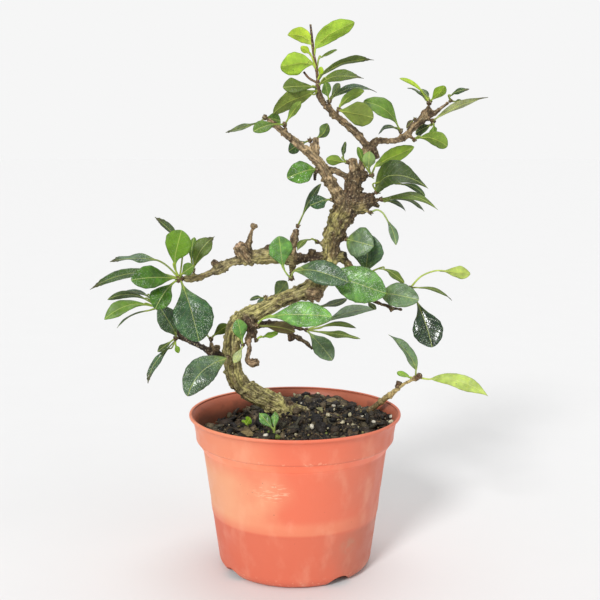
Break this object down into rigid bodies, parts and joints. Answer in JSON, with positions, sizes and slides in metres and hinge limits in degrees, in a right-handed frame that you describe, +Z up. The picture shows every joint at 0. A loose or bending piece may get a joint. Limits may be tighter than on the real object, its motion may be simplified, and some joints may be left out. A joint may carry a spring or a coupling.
{
  "type": "potted bonsai tree",
  "caption": "Small bonsai tree with an S-curved trunk and glossy spatulate leaves, standing in soil in a tapered plastic nursery pot.",
  "frame": {"origin": "centre of the pot's flat foot, on the surface that the pot stands on", "axes": "+Z up along the pot's axis; -Y towards the viewer of the tree's front; +X to that viewer's right"},
  "size_m": [0.2775, 0.15, 0.3801],
  "materials": {
    "pot": "satin terracotta-coloured plastic, faded in bands",
    "soil": "dark loose potting mix with bark bits and perlite",
    "bark": "rough grey-brown bark with olive lichen",
    "leaf": "glossy green leaf, leathery",
    "young_stem": "yellowish young bark"
  },
  "bodies": {
    "root": {"pot": "pot", "seedling": "leaf", "side_shoot": "young_stem", "small_weed": "leaf", "soil": "soil", "spray_crown_fork": "leaf", "spray_crown_left_back": "leaf", "spray_crown_left_front": "leaf", "spray_crown_left_middle": "leaf", "spray_crown_left_tip": "leaf", "spray_crown_middle_right": "leaf", "spray_crown_middle_top": "leaf", "spray_crown_right_back": "leaf", "spray_crown_right_end": "leaf", "spray_crown_right_left": "leaf", "spray_crown_right_low": "leaf", "spray_crown_right_prong": "leaf", "spray_crown_right_under": "leaf", "spray_crown_stub": "leaf", "spray_elbow": "leaf", "spray_hanging_stub": "leaf", "spray_leader": "leaf", "spray_left_end": "leaf", "spray_left_fork": "leaf", "spray_left_low": "leaf", "spray_left_spur_top": "leaf", "spray_low_front": "leaf", "spray_lower_left_end": "leaf", "spray_lower_left_fork": "leaf", "spray_lower_left_spur": "leaf", "spray_lower_trunk": "leaf", "spray_middle_right_end": "leaf", "spray_middle_right_fold": "leaf", "spray_middle_right_round": "leaf", "spray_middle_right_top": "leaf", "spray_right_knob_low": "leaf", "spray_right_knob_tip": "leaf", "spray_right_knob_top": "leaf", "spray_trunk_back": "leaf", "spray_trunk_front": "leaf", "spray_trunk_left": "leaf", "spray_trunk_left_knob": "leaf", "spray_trunk_right": "leaf", "spray_trunk_top": "leaf", "spray_under": "leaf", "spray_under_back": "leaf", "wood": "bark"}
  },
  "joints": []
}
